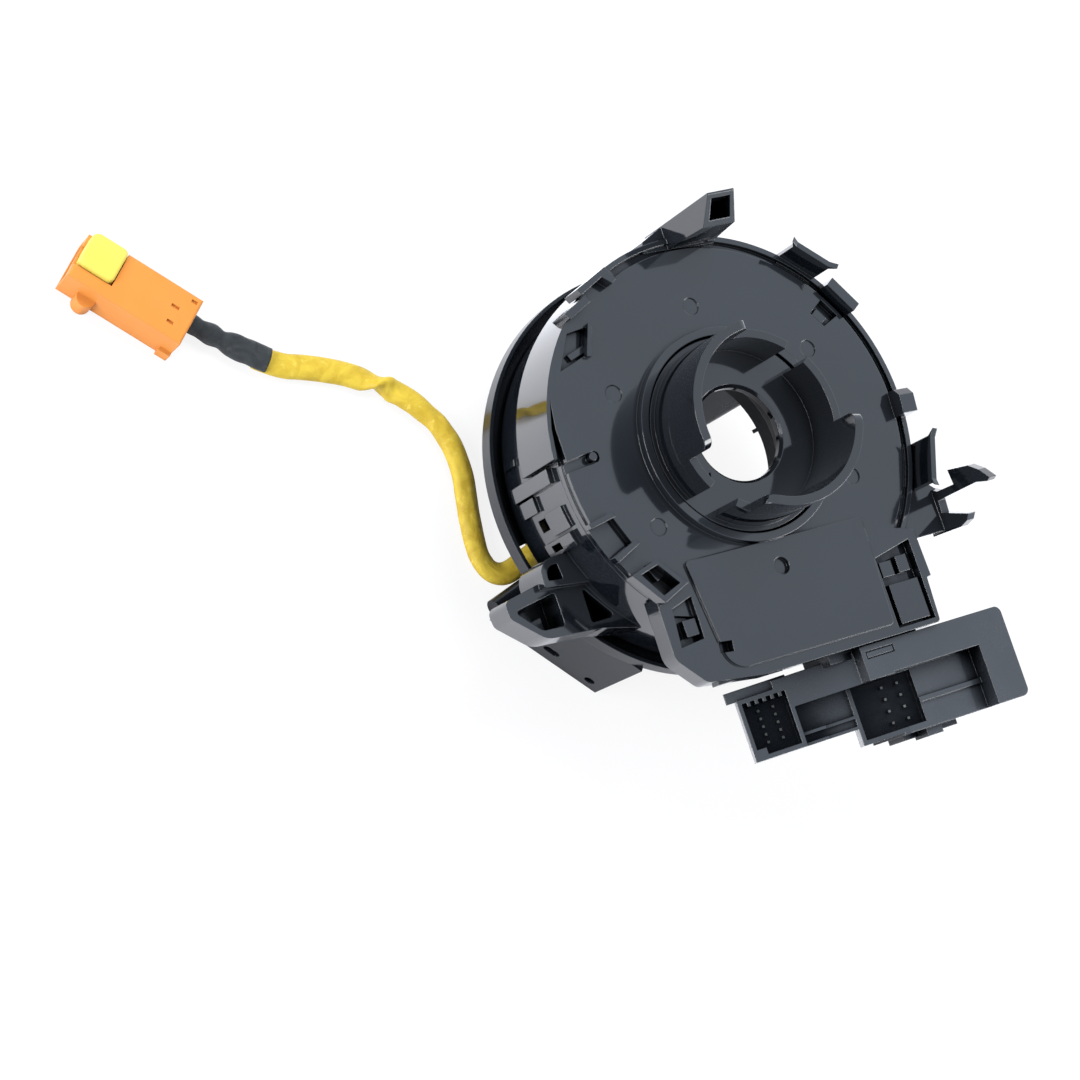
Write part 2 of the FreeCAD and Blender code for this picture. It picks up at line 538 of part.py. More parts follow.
loft("post", "PartDesign::AdditiveLoft", (-0.6, 16.4, 51.8, 57.6), (1.0, 9.2, 50.6, 58.0), post_foot,
    post_top)
t = float(S.post_wall)
loft("post_mouth", "PartDesign::SubtractiveLoft", (1.4 + t, 13.0 - t, 53.8, 57.4 - t),
    (1.0 + t, 9.2 - t, 51.6, 58.0 - t), S.rear_level + 1.0, post_top + 0.5)
pad(plate, "post_slant", None, 20.0, draw_polygon, (
    (49.0, post_top - 7.8), (58.6, post_top + 1.0), (58.6, post_top + 3.0), (49.0, post_top + 3.0)), cut=True,
    place=frame((-3.0, 0, 0), (0, 1, 0), (0, 0, 1)))
pad(plate, "post_shelf", S.rear_level - 9.0, 8.0, draw_polygon,
    ((-8.0, 51.6), (14.0, 50.6), (16.4, 55.0), (-0.6, 57.4), (-7.0, 54.6)))
ring(plate, "drum_clear", S.rim_inner, S.rim_inner - 8.0, S.rear_level - 10.0, 10.0 - S.groove_drop, cut=True)

# Connector block
connector = new_body("connector_block")
parts.append(connector)
lean = math.radians(float(S.lean))
slope = (math.cos(lean), 0.0, math.sin(lean))
slope_start = Vector(-11.6, 0, 8.1)


def leaning(rise=0.0):
    """Plane parallel to the socket rims: x up the slope, y along the part, the normal out of the mouth."""
    out = Vector(-math.sin(lean), 0, math.cos(lean))
    return frame(tuple(slope_start + out * rise), slope, (0, 1, 0))


def slanted(name, along, across, top, depth, cut=False):
    """A block or cut under a plane parallel to the socket rims, from its top down by a depth."""
    return pad(connector, name, None, depth, draw_polygon, block(*along, *across), cut=cut,
        place=leaning(top - depth))


pad(connector, "upper", S.block_front, S.block_rear - S.block_front, draw_rounded,
    ((S.block_left, S.block_top, 0), (S.block_right, S.block_top, 2.0), (S.block_right, S.block_top - 9.0, 0),
     (S.block_left, S.block_top - 9.0, 0)))
pad(connector, "lower", S.block_front, S.block_rear - S.block_front, draw_rounded,
    ((S.recess_left - 2.0, S.block_top - 8.5, 0), (S.block_right, S.block_top - 8.5, 0),
     (S.block_right, S.block_bottom, 2.0), (S.recess_left - 2.0, S.block_bottom, 0)))
slanted("flange", (-2.6, 14.0), (-63.8, -60.9), -1.2, 2.0)
slanted("cover", (10.0, 36.5), (-69.6, -61.4), 0.0, 9.0)
slanted("socket_a", (0.0, 13.8), (-80.2, -63.6), 0.0, 12.0)
slanted("bridge", (13.0, 32.0), (-80.2, -66.0), -7.5, 4.5)
slanted("ledge_a", (13.0, 32.0), (-77.4, -76.6), -3.0, 6.0)
slanted("ledge_b", (13.0, 32.0), (-80.2, -79.4), -4.0, 6.0)
slanted("socket_b", (28.0, 46.6), (-84.8, -68.4), -6.2, 13.0)
pad(connector, "recess", S.block_rear - S.recess_drop, S.recess_drop + 1.0, draw_polygon,
    ((S.recess_left - 3.0, S.block_top - 8.4), (S.recess_right, S.block_top - 8.4),
     (S.recess_right, S.block_bottom - 1.0), (S.recess_left - 3.0, S.block_bottom - 1.0)), cut=True)
pad(connector, "rail", S.block_rear - S.recess_drop - 0.5, 1.4, draw_polygon,
    block(S.recess_left + 2.5, S.recess_right, -78.6, -77.2))
slanted("clear_b", (20.0, 46.7), (-85.6, -69.7), 4.0, 10.2, cut=True)
slanted("mouth_a", (1.1, 12.7), (-79.0, -64.8), 1.0, 11.0, cut=True)
slanted("mouth_b", (29.1, 45.6), (-83.6, -69.6), 4.0, 20.2, cut=True)
slanted("key_a", (0.8, 3.6), (-79.5, -77.2), 0.0, 11.5)
for index in range(5):
    slanted("comb_%d" % index, (2.4 + 2.1 * index, 3.3 + 2.1 * index), (-65.9, -64.3), 0.0, 11.5)
pad(connector, "label_step", S.block_rear - 0.4, 2.0, draw_polygon, block(17.6, 26.6, -64.2, -62.2), cut=True)
pad(connector, "label_pad", S.block_rear - 1.0, 0.9, draw_polygon, block(17.9, 26.3, -63.9, -62.5))
# tongue that the skirt takes, and latches under the sockets
pad(connector, "tongue", S.block_front + 1.0, 8.0, draw_polygon, block(20.0, 38.0, S.block_top - 1.0, -57.6))
pad(connector, "neck", S.block_front + 5.0, S.rear_level - S.skirt_depth - S.block_front - 5.0, draw_polygon,
    block(9.0, 38.0, S.block_top - 2.0, -54.4))
pad(connector, "latch_low", S.block_front + 3.0, 7.0, draw_polygon,
    block(28.0, 46.0, S.block_bottom - 1.4, S.block_bottom + 1.0))
pad(connector, "latch_tip", S.block_front + 8.0, 6.0, draw_polygon,
    block(33.0, 38.0, S.block_bottom - 2.2, S.block_bottom + 1.0))

# Contacts of the sockets


def pin_rows(name, starts, rows, rise, length):
    """Square pins that stand along the leaning sockets, as one group."""
    width = float(S.pin_width)
    out = Vector(-math.sin(lean), 0, math.cos(lean))
    along = Vector(*slope)
    pins = []
    for x in starts:
        for y in rows:
            pin = Part.makeBox(width, width, float(length))
            pin.translate(Vector(-width / 2, -width / 2, 0))
            spot = tuple(slope_start + along * x + out * rise + Vector(0, y, 0))
            pin.Placement = frame(spot, slope, (0, 1, 0)).multiply(pin.Placement)
            pins.append(pin)
    group = doc.addObject("Part::Feature", name)
    group.Label = name
    group.Shape = Part.makeCompound(pins)
    return group


parts.append(pin_rows("socket_pins_small", (4.9, 8.9), [-67.6 - 2.1 * k for k in range(5)], -10.0,
    S.pin_reach))
parts.append(pin_rows("socket_pins_large", (37.6, 41.8), [-71.8 - 3.2 * k for k in range(4)], -16.2,
    S.pin_reach))


def simple_ring(name, outer, inner, low, height):
    body = new_body(name)
    ring(body, "band", outer, inner, low, height)
    parts.append(body)
    return body


# Flat cable chamber
simple_ring("rear_slip_sheet", S.sheet_outer, S.sheet_inner, plate_foot - S.sheet_thick, S.sheet_thick)
simple_ring("front_slip_sheet", S.step_radius - 1.2, S.hub_radius + 0.2, web_top, S.sheet_thick)
simple_ring("ribbon_inner_coil", S.inner_coil + S.inner_coil_wall, S.inner_coil, S.coil_foot, S.coil_height)
simple_ring("ribbon_outer_coil", S.outer_coil, S.outer_coil - S.outer_coil_wall, S.coil_foot, S.coil_height)

carrier = new_body("roller_carrier")
parts.append(carrier)
carrier_foot = web_top + S.sheet_thick + 0.3
ring(carrier, "band", S.carrier_outer, S.carrier_inner, carrier_foot, S.carrier_thick)
axle_foot = carrier_foot + S.carrier_thick
axle = pad(carrier, "axle", axle_foot - 0.2, S.roller_height + 0.6, draw_circle, S.axle_radius,
    (S.roller_circle, 0.0))
around(carrier, [axle], "axles", 4)
guard = pad(carrier, "guard", axle_foot - 0.2, S.roller_height, draw_sector, S.carrier_inner + 0.4,
    S.carrier_outer - 0.4, 18.0, 22.0)
around(carrier, [guard], "guards", 4)

for index in range(4):
    roller = new_body("roller_%d" % (index + 1))
    parts.append(roller)
    spot = polar(S.roller_circle, 90.0 * index)

    def both(sketch, spot=spot):
        draw_circle(sketch, S.roller_radius, (spot.x, spot.y))
        draw_circle(sketch, S.roller_bore, (spot.x, spot.y))
    pad(roller, "tube", axle_foot + 0.1, S.roller_height - 0.2, both)

# The rotor front carries the cable box, the lead's outlet and the connector towards the wheel.
box_out = polar(1.0, 221.7)
box_along = Vector(-box_out.y, box_out.x, 0)
# plan of the box: x runs round the axis and y points at the axis, so a reach R lies at y = -R
box_plan = frame((0, 0, 0), tuple(box_along), tuple(-box_out))

box = new_body("front_box")
parts.append(box)
box_inner = S.box_reach - S.box_depth
box_height = S.disc_foot - S.floor_level
pad(box, "shell", S.floor_level, box_height, draw_polygon,
    ((S.box_left, -S.box_reach), (S.box_right, -S.box_reach), (S.box_right - 2.5, -box_inner),
     (S.box_left + 5.8, -box_inner)), place=box_plan)
pad(box, "hollow", S.floor_level - 1.0, box_height - S.box_wall + 1.0, draw_polygon,
    ((S.box_left + S.box_wall + 0.6, -S.box_reach + S.box_wall),
     (S.box_right - S.box_wall, -S.box_reach + S.box_wall),
     (S.box_right - S.box_wall - 2.2, -box_inner - S.box_wall),
     (S.box_left + S.box_wall + 5.6, -box_inner - S.box_wall)), cut=True, place=box_plan)
wall_plane = frame(tuple(box_out * float(S.box_reach - 3.0)), tuple(box_along), (0, 0, 1))
for tag, along, rise, half in (("slot_a", -0.1, 5.7, 2.4), ("slot_b", 13.4, 4.2, 1.5)):
    level = float(S.floor_level) + rise
    pad(box, tag, None, 4.0, draw_rounded,
        ((along - half, level - 1.4, 1.3), (along + half, level - 1.4, 1.3), (along + half, level + 1.4, 1.3),
         (along - half, level + 1.4, 1.3)), cut=True, place=wall_plane)
arm = Vector(0.952, 0.305, 0).normalize()
arm_start = Vector(-50.4, -20.3, float(S.floor_level + S.guide_radius))
pad(box, "guide", None, 15.0, draw_circle, S.guide_radius,
    place=frame(tuple(arm_start), (-arm.y, arm.x, 0), (0, 0, 1)))
for index, along in enumerate((-8.0, 0.0, 8.0)):
    pad(box, "rib_%d" % index, S.floor_level + 12.0, box_height - 12.0, draw_polygon,
        block(along - 0.6, along + 0.6, -box_inner - 6.0, -box_inner - 0.5), place=box_plan)

outlet = new_body("lead_outlet")
parts.append(outlet)
lead_level = S.floor_level + S.lead_diameter / 2
lead_start = Vector(-32.8, -8.1, 0)
lead_way = Vector(-0.949, -0.316, 0).normalize()
# plan of the outlet: x runs from the lead's exit into the post
outlet_plan = frame(tuple(lead_start), tuple(-lead_way), (lead_way.y, -lead_way.x, 0))
post_depth, post_half = 7.4, 5.0
pad(outlet, "post", S.floor_level, S.web_foot - S.floor_level, draw_rounded,
    ((0.0, -post_half, 0.5), (post_depth, -post_half, 1.5), (post_depth, post_half, 1.5),
     (0.0, post_half, 0.5)), place=outlet_plan)
pad(outlet, "core", S.floor_level + 9.0, S.web_foot - S.floor_level - 9.0, draw_rounded,
    ((1.6, -3.4, 0.5), (5.8, -3.4, 0.5), (5.8, 3.4, 0.5), (1.6, 3.4, 0.5)), cut=True, place=outlet_plan)

shroud = new_body("front_connector")
parts.append(shroud)
shroud_out = polar(1.0, 48.0)
shroud_centre = shroud_out * 35.2


def shroud_plan(level=0.0):
    """Plan of the connector: x runs round the axis, y towards it."""
    return frame((shroud_centre.x, shroud_centre.y, float(level)), (-shroud_out.y, shroud_out.x, 0),
                 (-shroud_out.x, -shroud_out.y, 0))


def centred(length, width, corner):
    x, y = float(length) / 2, float(width) / 2
    return ((-x, -y, corner), (x, -y, corner), (x, y, corner), (-x, y, corner))


pad(shroud, "shell", S.floor_level, front_reach, draw_rounded, centred(S.shroud_length, S.shroud_width, 1.5),
    place=shroud_plan())
pad(shroud, "mouth", S.floor_level - 1.0, S.shroud_floor + 1.0, draw_rounded,
    centred(S.shroud_length - 2 * S.shroud_wall, S.shroud_width - 2 * S.shroud_wall, 0.8), cut=True,
    place=shroud_plan())
for tag, along in (("left", -6.0), ("right", 6.0)):
    pad(shroud, "key_" + tag, S.floor_level + 3.0, S.shroud_floor - 2.5, draw_polygon,
        block(along - 0.7, along + 0.7, -0.5 * S.shroud_width + 0.6, -0.5 * S.shroud_width + 2.2),
        place=shroud_plan())
pad(shroud, "lug", S.web_foot - 8.0, 8.0, draw_polygon, block(-15.5, 15.5, -2.0, 2.0), place=shroud_plan())


def pin_group(name, place, spots, width, length):
    """Square pins standing on a plane, as one group."""
    pins = []
    for x, y in spots:
        pin = Part.makeBox(width, width, length, Vector(x - width / 2, y - width / 2, 0))
        pin.Placement = place
        pins.append(pin)
    group = doc.addObject("Part::Feature", name)
    group.Label = name
    group.Shape = Part.makeCompound(pins)
    parts.append(group)


pin_start = float(S.floor_level) + 7.0
pin_group("front_connector_pins", shroud_plan(pin_start),
    [(-8.75 + 2.5 * k, y) for k in range(8) for y in (-2.0, 2.0)],
    float(S.pin_width), float(S.floor_level + S.shroud_floor) - pin_start)

terminal = new_body("rotor_terminal_block")
parts.append(terminal)
pad(terminal, "block", S.disc_foot + 1.5, S.web_foot - S.disc_foot - 1.5, draw_rounded,
    ((-5.0, -40.0, 0.8), (9.6, -40.0, 0.8), (9.6, -30.5, 0.8), (-5.0, -30.5, 0.8)))
for index in range(4):
    pad(terminal, "weld_%d" % index, S.disc_foot + 1.0, 2.0, draw_polygon,
        block(-3.6 + 3.4 * index, -1.8 + 3.4 * index, -38.5, -32.0))

fixed_terminal = new_body("stator_terminal_block")
parts.append(fixed_terminal)
pad(fixed_terminal, "block", S.block_front + 3.0, plate_foot - S.block_front - 3.0, draw_rounded,
    ((-7.0, -54.6, 0), (7.0, -54.6, 0), (7.0, -57.6, 0.5), (-7.0, -57.6, 0.5)))

# The airbag lead leaves its outlet, folds back and lies in a loose curve on the ground.


def route_path(points):
    """Straight runs joined by tangent arcs, as one wire, with the radii of its arcs."""
    edges, start, radii = [], points[0], []
    for before, here, after in zip(points, points[1:], points[2:]):
        a, b = before - here, after - here
        reach = 0.45 * min(a.Length, b.Length)
        half = a.getAngle(b) / 2
        radius = reach * math.tan(half)
        a.normalize()
        b.normalize()
        centre = here + (a + b).normalize() * (radius / math.sin(half))
        enter, leave = here + a * reach, here + b * reach
        middle = centre + (here - centre).normalize() * radius
        edges.append(Part.LineSegment(start, enter).toShape())
        edges.append(Part.Arc(enter, middle, leave).toShape())
        radii.append(radius)
        start = leave
    edges.append(Part.LineSegment(start, points[-1]).toShape())
    return Part.Wire(edges), radii


def tube(name, points, diameter):
    path, radii = route_path(points)
    section = Part.Wire([Part.makeCircle(float(diameter) / 2, points[0], points[1] - points[0])])
    solid = path.makePipeShell([section], True, True)
    ratio = solid.Volume / (math.pi * float(diameter) ** 2 / 4 * path.Length)
    print(name, "length %.1f" % path.Length, "volume ratio %.4f" % ratio, "radii",
        [round(r, 1) for r in radii])
    item = doc.addObject("Part::Feature", name)
    item.Label = name
    item.Shape = solid
    parts.append(item)


lead_z = float(lead_level)
sleeve_z = float(S.floor_level + S.sleeve_diameter / 2)
plug_way = Vector(-1, 1, 0).normalize()
plug_side = Vector(1, 1, 0).normalize()
plug_rear = Vector(-111.4, 69.7, 0)
sleeve_end = plug_rear + plug_side * 3.4 + Vector(0, 0, sleeve_z)
sleeve_bend = sleeve_end - polar(8.0, 135.0)
lead_bend = sleeve_bend - polar(18.5, 146.0)
lead_end = lead_bend + polar(6.8, 146.0)
lead_points = [lead_start + Vector(0, 0, lead_z)] + [Vector(x, y, lead_z) for x, y in (
    (-37.6, -9.7), (-43.2, -11.9), (-47.0, -10.9), (-49.4, -7.8), (-49.6, -1.4), (-48.0, 8.7), (-46.0, 18.6),
    (-47.2, 28.6), (-52.2, 37.6), (-60.6, 45.2), (-71.2, 50.9), (-79.9, 54.1))]
tube("airbag_lead", lead_points + [lead_bend, lead_end], S.lead_diameter)
tube("lead_sleeve", [lead_end, sleeve_bend, sleeve_end], S.sleeve_diameter)

# The plug: plan x runs from its rear face to its mouth, plan y across it.
plug_plan = frame(tuple(plug_rear), tuple(plug_way), tuple(-plug_side))


def plug_section(reach):
    """Upright plane across the plug at a distance from its rear face, its normal towards the mouth."""
    spot = plug_rear + plug_way * reach
    return frame((spot.x, spot.y, float(S.floor_level)), tuple(-plug_side), (0, 0, 1))


plug = new_body("airbag_plug")
parts.append(plug)
half_plug = S.plug_width / 2
pad(plug, "shell", S.floor_level, S.plug_height, draw_polygon,
    ((0.0, -half_plug), (S.plug_length, -half_plug), (S.plug_length, half_plug), (0.0, half_plug)),
    place=plug_plan)
pad(plug, "foot", S.floor_level, 3.6, draw_polygon,
    ((0.0, half_plug - 1.0), (3.4, half_plug - 1.0), (3.4, half_plug + 1.0), (0.0, half_plug + 1.0)),
    place=plug_plan)
pad(plug, "boss", S.floor_level, 5.4, draw_circle, 2.6, (25.6, half_plug + 0.2), place=plug_plan)
soften(plug, "edges", 0.8, lambda e: e.BoundBox.ZMin > float(S.floor_level + S.plug_height) - 1e-3)
low = float(S.plug_wall)
mouth_top = float(S.plug_height) - 4.8
pad(plug, "mouth", None, 14.0, draw_rounded,
    ((-float(half_plug) + low, low, 0.8), (float(half_plug) - low, low, 0.8),
     (float(half_plug) - low, mouth_top, 0.8), (-float(half_plug) + low, mouth_top, 0.8)), cut=True,
    place=plug_section(float(S.plug_length) - 13.0))
# the lock sits in a step at the mouth end and slides on a tongue
lock_back, lock_side = 22.4, 3.2
lock_foot = S.plug_height - 2.8
pad(plug, "lock_step", S.floor_level + lock_foot, 5.0, draw_polygon,
    block(lock_back - 0.3, 40.0, -12.0, lock_side + 0.2), cut=True, place=plug_plan)
pad(plug, "lock_slot", S.floor_level + lock_foot - 1.0, 3.0, draw_polygon,
    block(lock_back - 0.3, 40.0, -3.5, 0.0), cut=True, place=plug_plan)
for tag, along, across, length in (("slot_a", 4.6, -1.6, 2.2), ("slot_b", 4.2, 2.8, 1.8),
        ("slot_c", 1.2, -5.6, 1.6)):
    pad(plug, tag, S.floor_level + S.plug_height - 0.6, 2.0, draw_polygon,
        block(along, along + length, across, across + 0.9), cut=True, place=plug_plan)

lock = new_body("plug_lock")
parts.append(lock)
lock_end = S.plug_length - 0.6
pad(lock, "cap", S.floor_level + lock_foot + S.lock_gap, 4.2, draw_rounded,
    ((lock_back, -half_plug, 1.5), (lock_end, -half_plug, 2.0), (lock_end, lock_side, 2.0),
     (lock_back, lock_side, 1.5)), place=plug_plan)
pad(lock, "tongue", S.floor_level + lock_foot - 1.0 + S.lock_gap, 2.0, draw_polygon,
    block(lock_back, lock_end, -3.5 + S.lock_gap, -S.lock_gap), place=plug_plan)
soften(lock, "top", 0.9, lambda e: e.BoundBox.ZMin > float(S.floor_level + lock_foot + S.lock_gap) + 4.1)

terminals = plug_section(float(S.plug_length) - 13.0)
pin_group("plug_terminals", terminals, [(-2.0, 3.8), (2.0, 3.8)], 1.5, 9.0)

# The flat cable's turn goes round the first roller, from the outer coil to the inner one.
turn = new_body("ribbon_turn")
parts.append(turn)
turn_inner = S.roller_radius + 0.35
turn_outer = turn_inner + S.ribbon_thick
pad(turn, "round", S.coil_foot, S.coil_height, draw_sector, turn_inner, turn_outer, -4.0, 184.0,
    place=Placement(Vector(float(S.roller_circle), 0, 0), Rotation()))
outer_face = S.outer_coil - S.outer_coil_wall - 0.3
inner_face = S.inner_coil + S.inner_coil_wall + 0.3
pad(turn, "outer_run", S.coil_foot, S.coil_height, draw_sector, outer_face - S.ribbon_thick, outer_face,
    -50.0, -8.0)
pad(turn, "inner_run", S.coil_foot, S.coil_height, draw_sector, inner_face, inner_face + S.ribbon_thick,
    -50.0, -8.0)
pad(turn, "outer_link", S.coil_foot, S.coil_height, draw_polygon,
    ((S.roller_circle + turn_inner, 0.1), (S.roller_circle + turn_outer, 0.1), (outer_face - 0.42, -6.1),
     (outer_face - 0.42 - S.ribbon_thick, -6.1)))
pad(turn, "inner_link", S.coil_foot, S.coil_height, draw_polygon,
    ((S.roller_circle - turn_outer, 0.1), (S.roller_circle - turn_inner, 0.1),
     (inner_face + 0.1 + S.ribbon_thick - 0.3, -4.5), (inner_face + 0.1 - 0.3, -4.5)))

# The whole part comes down, so that the stator's rear face lies in the plane of the origin.
for item in parts:
    item.setExpression("Placement.Base.z", "0 - Sizes.rear_level")
doc.recompute()
for item in doc.Objects:
    if "Invalid" in item.State or "Error" in item.State:
        raise RuntimeError(item.Label + " does not build")
os.makedirs("parts", exist_ok=True)
for item in parts:
    if item.Shape.isNull() or not item.Shape.isValid():
        raise RuntimeError(item.Label + " has no valid shape")
    item.Shape.exportStep("parts/" + item.Label + ".step")
    print(item.Label, len(item.Shape.Solids), round(item.Shape.Volume, 1), round(item.Shape.BoundBox.ZMin, 2))
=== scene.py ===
"""Looks of the steering clock spring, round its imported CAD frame, seen as in the photograph.

Lengths are in metres, unless a name or comment says millimetres.
"""

import math

import bmesh
import bpy
from mathutils import Matrix, Vector, noise


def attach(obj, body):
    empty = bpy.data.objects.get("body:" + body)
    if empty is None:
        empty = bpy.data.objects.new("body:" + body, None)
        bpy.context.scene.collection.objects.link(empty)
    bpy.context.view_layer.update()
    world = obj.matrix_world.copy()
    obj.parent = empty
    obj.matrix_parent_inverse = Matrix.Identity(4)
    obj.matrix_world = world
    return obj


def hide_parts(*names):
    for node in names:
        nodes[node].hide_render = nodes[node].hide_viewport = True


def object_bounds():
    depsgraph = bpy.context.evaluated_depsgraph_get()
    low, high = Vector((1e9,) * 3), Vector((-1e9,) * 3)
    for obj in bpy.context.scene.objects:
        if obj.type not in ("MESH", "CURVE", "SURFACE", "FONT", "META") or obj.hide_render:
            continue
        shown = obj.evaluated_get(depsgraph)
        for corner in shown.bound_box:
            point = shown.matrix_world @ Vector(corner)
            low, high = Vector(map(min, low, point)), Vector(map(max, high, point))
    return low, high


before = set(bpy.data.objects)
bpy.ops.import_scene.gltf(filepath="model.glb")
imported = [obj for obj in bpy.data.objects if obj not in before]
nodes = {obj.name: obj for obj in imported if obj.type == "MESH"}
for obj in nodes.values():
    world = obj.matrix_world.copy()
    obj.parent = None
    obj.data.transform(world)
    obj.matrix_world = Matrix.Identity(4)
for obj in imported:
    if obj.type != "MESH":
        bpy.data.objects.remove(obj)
bpy.context.scene.view_settings.view_transform = "Standard"
cad_low, cad_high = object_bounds()

MM_PER_METRE = 1000.0
# The part lies on its wheel side, so the floor is at the frame's lowest point
FLOOR = round(cad_low[2], 6)

# Camera: the photograph's view from the column side and left, solved from the part's round edges
SENSOR_WIDTH_MM = 36.0
LENS_MM = 91.52
CAMERA_PLACE = Matrix((
    (0.8406, 0.2198, -0.4950, -0.39368),
    (-0.3147, 0.9421, -0.1161, -0.09059),
    (0.4408, 0.2534, 0.8611, 0.57335),
    (0.0, 0.0, 0.0, 1.0)))


def add_camera():
    data = bpy.data.cameras.new("camera")
    data.sensor_width = SENSOR_WIDTH_MM
    data.lens = LENS_MM
    data.clip_start = 0.01
    data.clip_end = 20.0
    camera = bpy.data.objects.new("camera", data)
    bpy.context.collection.objects.link(camera)
    camera.matrix_world = CAMERA_PLACE
    bpy.context.scene.camera = camera


add_camera()

# Materials. The scales of the noise are in features per metre
FLOW_MARKS = 26.0
UNEVEN_FACES = 38.0
DULL_PATCHES = 75.0
MOULD_GRAIN = 2600.0
PLATING_PATCHES = 1500.0
PLATING_GRAIN = 2200.0
FILM_FLOW = 120.0
FILM_PATCHES = 300.0
FILM_GRAIN = 1200.0
VINYL_FOLDS = 170.0
VINYL_HIGHLIGHTS = 420.0
VINYL_GRAIN = 1500.0
RAY_SAMPLES = 6
COAT_ROUGHNESS = 0.05
# Painted shade in pockets and sockets: the share of the colour left there, and the metallic that takes their
# shine away
POCKET_SHADE = 0.25
POCKET_METALLIC = 0.95
SOCKET_SHADE = 0.12


class Nodes:
    """A material's node tree with a short way to add and join nodes."""

    def __init__(self, name):
        self.material = bpy.data.materials.new(name)
        self.material.use_nodes = True
        self.tree = self.material.node_tree
        self.shader = self.tree.nodes["Principled BSDF"]
        self.place = self.add("ShaderNodeTexCoord").outputs["Object"]

    def add(self, kind, values=None, **settings):
        """A new node, with its settings, and its inputs joined or set to values."""
        node = self.tree.nodes.new(kind)
        for key, value in settings.items():
            setattr(node, key, value)
        for key, value in (values or {}).items():
            self.feed(node.inputs[key], value)
        return node

    def feed(self, socket, value):
        """Join another node's output to an input, or set the input to a plain value."""
        if isinstance(value, bpy.types.NodeSocket):
            self.tree.links.new(value, socket)
        else:
            socket.default_value = value

    def join(self, value, name):
        """Join or set an input of the surface's shader."""
        self.feed(self.shader.inputs[name], value)

    def noise(self, scale, detail=2.0, rough=0.5, distortion=0.0):
        values = {"Vector": self.place, "Scale": scale, "Detail": detail, "Roughness": rough,
                  "Distortion": distortion}
        return self.add("ShaderNodeTexNoise", values).outputs["Fac"]

    def spread(self, value, low, high, start=0.3, stop=0.7):
        """Map a texture's range to a range of numbers."""
        values = {"Value": value, "From Min": start, "From Max": stop, "To Min": low, "To Max": high}
        return self.add("ShaderNodeMapRange", values).outputs["Result"]

    def tint(self, value, first, second, start=0.3, stop=0.7):
        """Map a texture's range to a range of colours."""
        ramp = self.add("ShaderNodeValToRGB", {"Fac": value})
        for element, position, colour in zip(ramp.color_ramp.elements, (start, stop), (first, second)):
            element.position = position
            element.color = (*colour, 1.0)
        return ramp.outputs["Color"]

    def blend(self, share, first, second):
        """Mix two colours, the second by share. A colour is three numbers or another node's output."""
        mix = self.add("ShaderNodeMix", data_type="RGBA")
        share_input, first_input, second_input = mix.inputs[0], mix.inputs[6], mix.inputs[7]
        self.feed(share_input, share)
        for socket, colour in ((first_input, first), (second_input, second)):
            self.feed(socket, colour if isinstance(colour, bpy.types.NodeSocket) else (*colour, 1.0))
        return mix.outputs[2]

    def open_share(self, reach):
        """Share of the sky that a spot sees past walls nearer than reach."""
        return self.add("ShaderNodeAmbientOcclusion", {"Distance": reach}, samples=RAY_SAMPLES).outputs["AO"]

    def relief(self, *layers, edge=0.0):
        """Bumps from coarse to fine, each a (height, strength, distance), over edges softened by a radius."""
        normal = None
        if edge:
            normal = self.add("ShaderNodeBevel", {"Radius": edge}, samples=RAY_SAMPLES).outputs["Normal"]
        for height, strength, distance in layers:
            values = {"Height": height, "Strength": strength, "Distance": distance}
            if normal is not None:
                values["Normal"] = normal
            normal = self.add("ShaderNodeBump", values).outputs["Normal"]
        self.join(normal, "Normal")
        return normal


def shade(colour, share):
    return [share * part for part in colour]


def moulded(
        name, dark, light, rough, grain, edge=0.0003, gloss=0.0, shine=0.5, hollow=0.0,
        pocket=(0.25, 0.58)):
    """Injection-moulded plastic: faint flow marks, dull patches, fine grain and softened edges.

    rough is the range of roughness, gloss the weight of the clear coat and shine the specular level. With
    hollow, shade is painted into pockets of about that size: the colour darkens, and a dark metallic base
    takes away the coat and the white shine, fading between pocket's two shares of open sky.
    """
    m = Nodes(name)
    colour = m.tint(m.noise(FLOW_MARKS, 3.0, 0.55, 0.6), dark, light)
    m.join(m.spread(m.noise(DULL_PATCHES, 4.0, 0.6), *rough), "Roughness")
    m.join(shine, "Specular IOR Level")
    m.join(COAT_ROUGHNESS, "Coat Roughness")
    # Painted shade in pockets: a darker colour, with no coat and no white shine
    if hollow:
        sky = m.open_share(hollow)
        m.join(m.spread(sky, 0.0, gloss, *pocket), "Coat Weight")
        m.join(m.spread(sky, POCKET_METALLIC, 0.0, *pocket), "Metallic")
        colour = m.blend(m.spread(sky, 0.0, 1.0, *pocket), shade(dark, POCKET_SHADE), colour)
    else:
        m.join(gloss, "Coat Weight")
    m.join(colour, "Base Color")
    uneven = (m.noise(UNEVEN_FACES, 1.0), 0.04, 0.002)
    fine_grain = (m.noise(MOULD_GRAIN, 2.0, 0.6), grain, 0.00006)
    m.join(m.relief(uneven, fine_grain, edge=edge), "Coat Normal")
    return m.material


def metal(name, colour, depth):
    """Plated contact, darkened by painted shade where it stands in a socket of about that depth."""
    m = Nodes(name)
    # Painted shade: the colour darkens where nearby walls hide the sky
    m.join(m.tint(m.open_share(depth), shade(colour, SOCKET_SHADE), colour, 0.55, 0.92), "Base Color")
    m.join(1.0, "Metallic")
    m.join(m.spread(m.noise(PLATING_PATCHES), 0.18, 0.34), "Roughness")
    m.relief((m.noise(PLATING_GRAIN), 0.1, 0.00004))
    return m.material


